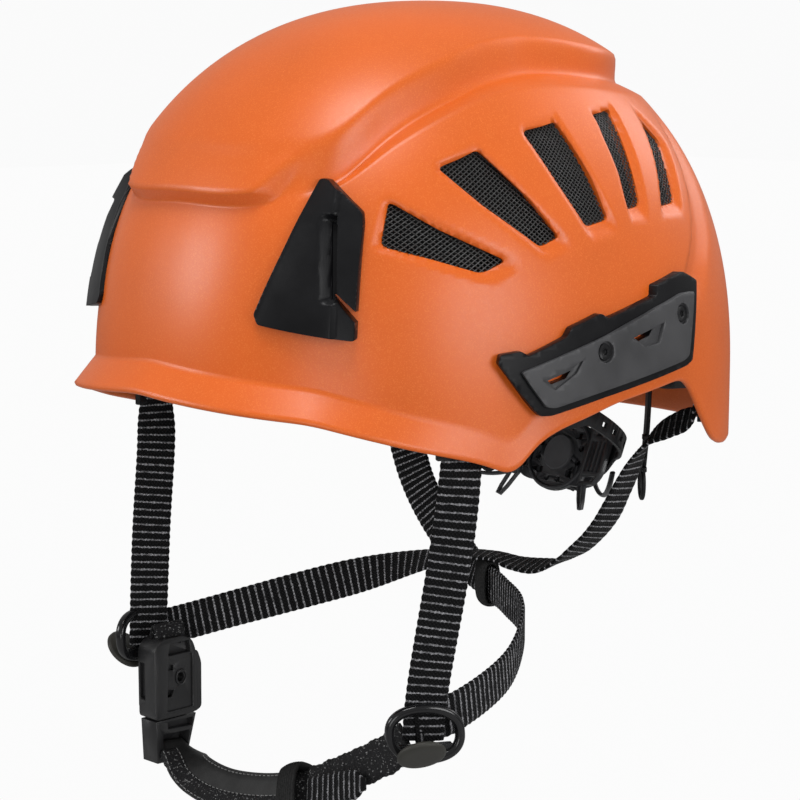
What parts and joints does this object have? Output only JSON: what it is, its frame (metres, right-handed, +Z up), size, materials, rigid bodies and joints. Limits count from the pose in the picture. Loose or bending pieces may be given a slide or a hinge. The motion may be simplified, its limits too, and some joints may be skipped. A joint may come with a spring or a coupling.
{
  "type": "climbing helmet",
  "caption": "Vented climbing helmet with foam liner, mesh vents, lamp clips, side accessory adapters, wheel-adjusted cradle and buckled chin harness.",
  "frame": {"origin": "middle of the head opening at headband level, where the wearer's head sits", "axes": "+Z up; -Y is the front; +X is the wearer's left"},
  "size_m": [0.222, 0.2647, 0.3113],
  "materials": {
    "shell_orange": "satin",
    "liner_foam": "matte",
    "vent_mesh": "woven",
    "black_plastic": "satin",
    "grey_plastic": "satin",
    "black_steel": "black oxide",
    "bright_steel": "satin",
    "pad_fabric": "knitted",
    "webbing": "ribbed weave",
    "keeper_elastic": "ribbed elastic",
    "gloss_black": "gloss",
    "cap_plastic": "satin",
    "sleeve_leather": "smooth"
  },
  "bodies": {
    "shell": {"outer_shell": "shell_orange", "foam_liner": "liner_foam", "vent_mesh_left": "vent_mesh", "vent_mesh_right": "vent_mesh", "lamp_clip_left": "black_plastic", "lamp_clip_right": "black_plastic", "rear_lamp_clip": "black_plastic", "adapter_left": "grey_plastic", "adapter_right": "grey_plastic", "adapter_screws": "black_steel", "screw_inserts": "bright_steel", "crown_pad": "pad_fabric", "forehead_pad": "pad_fabric", "headband_front": "black_plastic", "temple_guides": "black_plastic", "strap_anchors_front": "black_plastic", "strap_anchors_rear": "black_plastic", "front_strap_left": "webbing", "front_strap_right": "webbing", "cross_strap_left": "webbing", "cross_strap_right": "webbing", "nape_keeper": "keeper_elastic", "divider_left": "gloss_black", "divider_right": "gloss_black", "buckle_loop": "webbing", "buckle_socket": "black_plastic"},
    "slider": {"temple_sliders": "grey_plastic"},
    "cradle": {"cradle_arm_left": "black_plastic", "cradle_arm_right": "black_plastic", "adjuster_housing": "grey_plastic", "adjuster_cover": "black_plastic", "adjuster_axle": "bright_steel", "hanger_left": "black_plastic", "hanger_right": "black_plastic"},
    "wheel": {"adjuster_wheel": "black_plastic", "adjuster_pinion": "grey_plastic"},
    "cap_left": {"divider_cap_left": "cap_plastic"},
    "cap_right": {"divider_cap_right": "cap_plastic"},
    "chin": {"buckle_plug": "black_plastic", "chin_webbing": "webbing", "chin_sleeve": "sleeve_leather", "webbing_tail": "webbing"},
    "keeper": {"tail_keeper": "keeper_elastic"},
    "prong_front": {"plug_prong_front": "black_plastic"},
    "prong_rear": {"plug_prong_rear": "black_plastic"}
  },
  "joints": [
    {"name": "band_size", "type": "slide", "parent": "shell", "child": "slider", "axis": [0, -1, 0], "range_m": [0, 0.012]},
    {"name": "cradle_tilt", "type": "hinge", "parent": "slider", "child": "cradle", "pos_m": [0, -0.012, 0.008], "axis": [1, 0, 0], "range_deg": [-6, 12]},
    {"name": "wheel_turn", "type": "hinge", "parent": "cradle", "child": "wheel", "pos_m": [0, 0.07935, -0.03267], "axis": [0, 0.9135, -0.4067], "range_deg": [0, 270.5]},
    {"name": "cap_left_open", "type": "hinge", "parent": "shell", "child": "cap_left", "pos_m": [0.081, -0.0756, -0.0926], "axis": [-0.4695, -0.8829, 0], "range_deg": [0, 95]},
    {"name": "cap_right_open", "type": "hinge", "parent": "shell", "child": "cap_right", "pos_m": [-0.09163, -0.07785, -0.0876], "axis": [-0.309, 0.9511, 0], "range_deg": [0, 95]},
    {"name": "chin_swing", "type": "hinge", "parent": "shell", "child": "chin", "pos_m": [0.077, -0.075, -0.113], "axis": [0, -1, 0], "range_deg": [0, 70]},
    {"name": "keeper_slide", "type": "slide", "parent": "chin", "child": "keeper", "axis": [0.9257, 0.0418, 0.3759], "range_m": [0, 0.006]},
    {"name": "prong_front_squeeze", "type": "hinge", "parent": "chin", "child": "prong_front", "pos_m": [-0.07576, -0.0799, -0.1354], "axis": [-0.9994, -0.0349, 0], "range_deg": [0, 6], "stiffness_Nm_per_rad": 0.05},
    {"name": "prong_rear_squeeze", "type": "hinge", "parent": "chin", "child": "prong_rear", "pos_m": [-0.07624, -0.0661, -0.1354], "axis": [0.9994, 0.0349, 0], "range_deg": [0, 6], "stiffness_Nm_per_rad": 0.05}
  ],
  "couplings": [
    {"joint": "wheel_turn", "follows": "band_size", "rad_per_m": 392.7}
  ]
}
